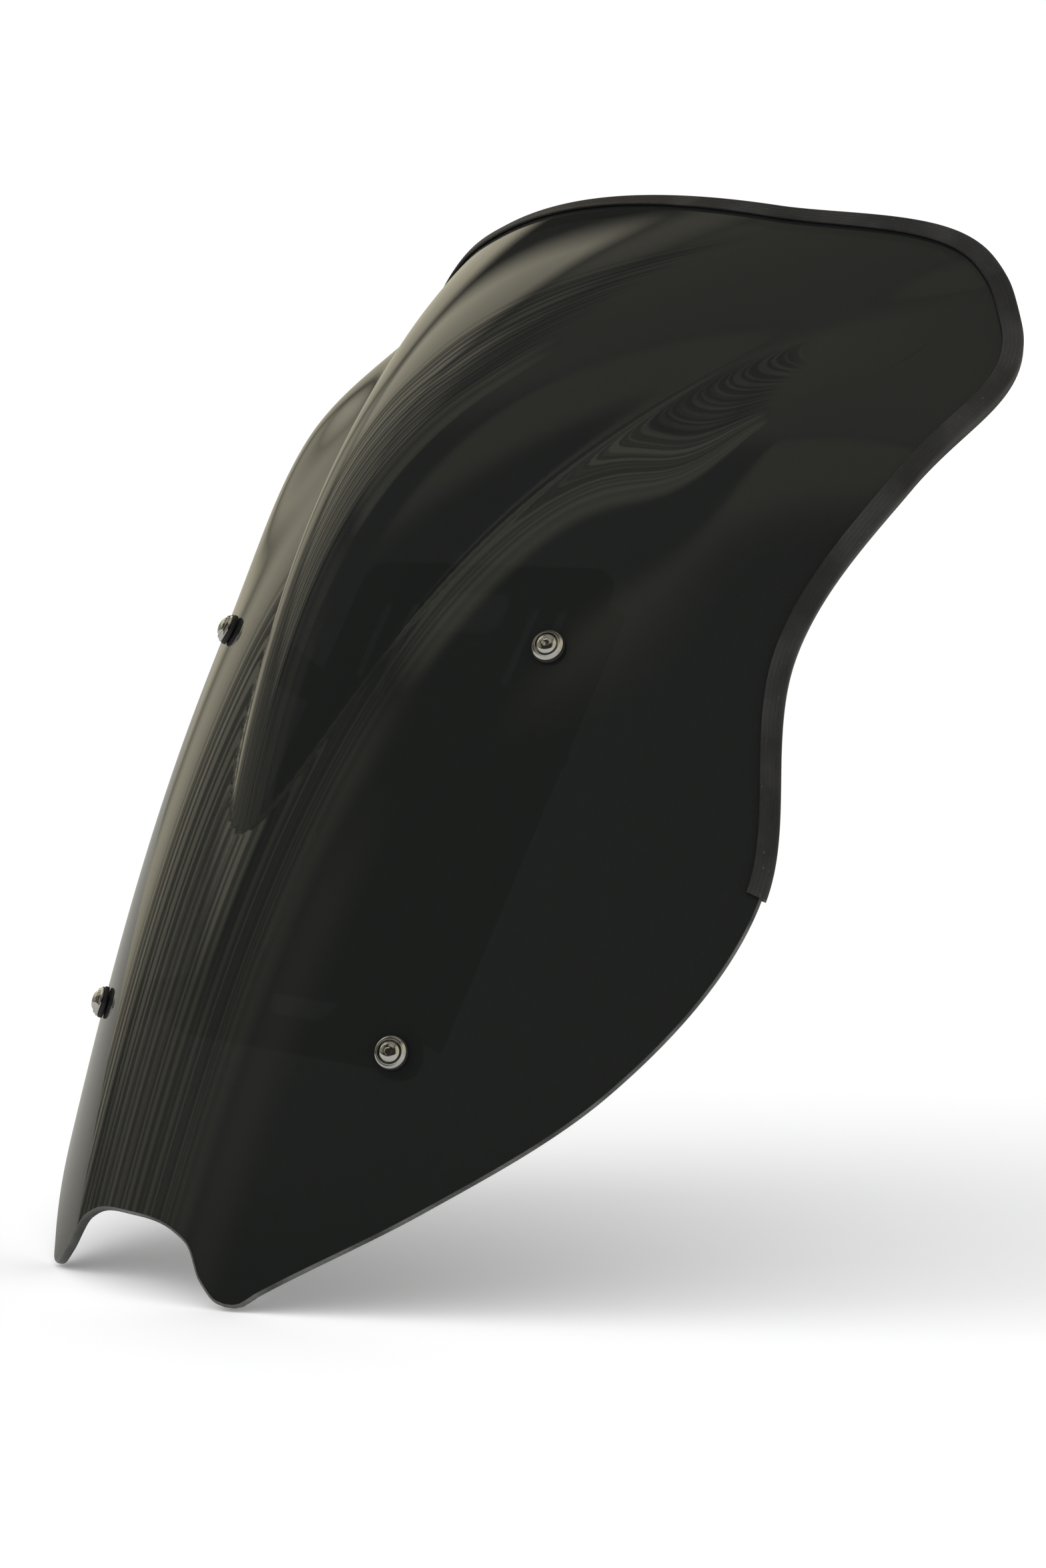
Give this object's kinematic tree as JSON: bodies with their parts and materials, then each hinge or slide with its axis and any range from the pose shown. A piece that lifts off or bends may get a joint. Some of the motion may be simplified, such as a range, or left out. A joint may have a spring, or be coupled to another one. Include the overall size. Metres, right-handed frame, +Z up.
{
  "type": "motorcycle windshield screen",
  "caption": "Tall curved dark-smoke windshield screen with central bubble, rubber edge trim and screw fixings, on a hand-adjustable carrier and stay.",
  "frame": {"origin": "centre of the stay plate's flat rear mounting face, midway between its four bolt holes", "axes": "+Z up, the screen faces -Y (the bike's forward), +X is the rider's left; the slope leans back 60 degrees from the ground"},
  "size_m": [0.4476, 0.3435, 0.4805],
  "materials": {
    "smoke_acrylic": "near-opaque dark smoke, polished",
    "trim_rubber": "matt black",
    "spring_steel": "bright strip",
    "stainless": "polished stainless",
    "nylon": "satin black",
    "brass": "turned",
    "moulding": "fine-textured black",
    "coated_steel": "black powder coat",
    "zinc_steel": "zinc plated"
  },
  "bodies": {
    "stay": {"stay_plate": "coated_steel", "weld_nut_upper_left": "zinc_steel", "weld_nut_upper_right": "zinc_steel", "weld_nut_lower_left": "zinc_steel", "weld_nut_lower_right": "zinc_steel"},
    "screen": {"screen_panel": "smoke_acrylic", "edge_trim": "trim_rubber", "edge_trim_core": "spring_steel", "carrier": "moulding", "screw_upper_left": "stainless", "screw_upper_right": "stainless", "screw_lower_left": "stainless", "screw_lower_right": "stainless", "cup_washer_upper_left": "stainless", "cup_washer_upper_right": "stainless", "cup_washer_lower_left": "stainless", "cup_washer_lower_right": "stainless", "seal_washer_upper_left": "nylon", "seal_washer_upper_right": "nylon", "seal_washer_lower_left": "nylon", "seal_washer_lower_right": "nylon", "well_nut_upper_left": "trim_rubber", "well_nut_upper_right": "trim_rubber", "well_nut_lower_left": "trim_rubber", "well_nut_lower_right": "trim_rubber", "well_nut_insert_upper_left": "brass", "well_nut_insert_upper_right": "brass", "well_nut_insert_lower_left": "brass", "well_nut_insert_lower_right": "brass", "slide_shoe_upper_left": "nylon", "slide_shoe_upper_right": "nylon", "slide_shoe_lower_left": "nylon", "slide_shoe_lower_right": "nylon", "clamp_stud_left": "zinc_steel", "clamp_stud_right": "zinc_steel", "clamp_washer_left": "zinc_steel", "clamp_washer_right": "zinc_steel", "guide_washer_left": "zinc_steel", "guide_washer_right": "zinc_steel", "guide_screw_left": "zinc_steel", "guide_screw_right": "zinc_steel", "guide_nut_left": "zinc_steel", "guide_nut_right": "zinc_steel"},
    "clamp_left": {"clamp_knob_left": "moulding", "clamp_knob_insert_left": "brass"},
    "clamp_right": {"clamp_knob_right": "moulding", "clamp_knob_insert_right": "brass"}
  },
  "joints": [
    {"name": "screen_height", "type": "slide", "parent": "stay", "child": "screen", "axis": [0, 0.5, 0.866], "range_m": [0, 0.05]},
    {"name": "clamp_left_turn", "type": "hinge", "parent": "screen", "child": "clamp_left", "pos_m": [0.062, 0.0175, 0.03031], "axis": [0, 0.866, -0.5], "range_deg": [0, 360]},
    {"name": "clamp_right_turn", "type": "hinge", "parent": "screen", "child": "clamp_right", "pos_m": [-0.062, 0.0175, 0.03031], "axis": [0, 0.866, -0.5], "range_deg": [0, 360]}
  ]
}
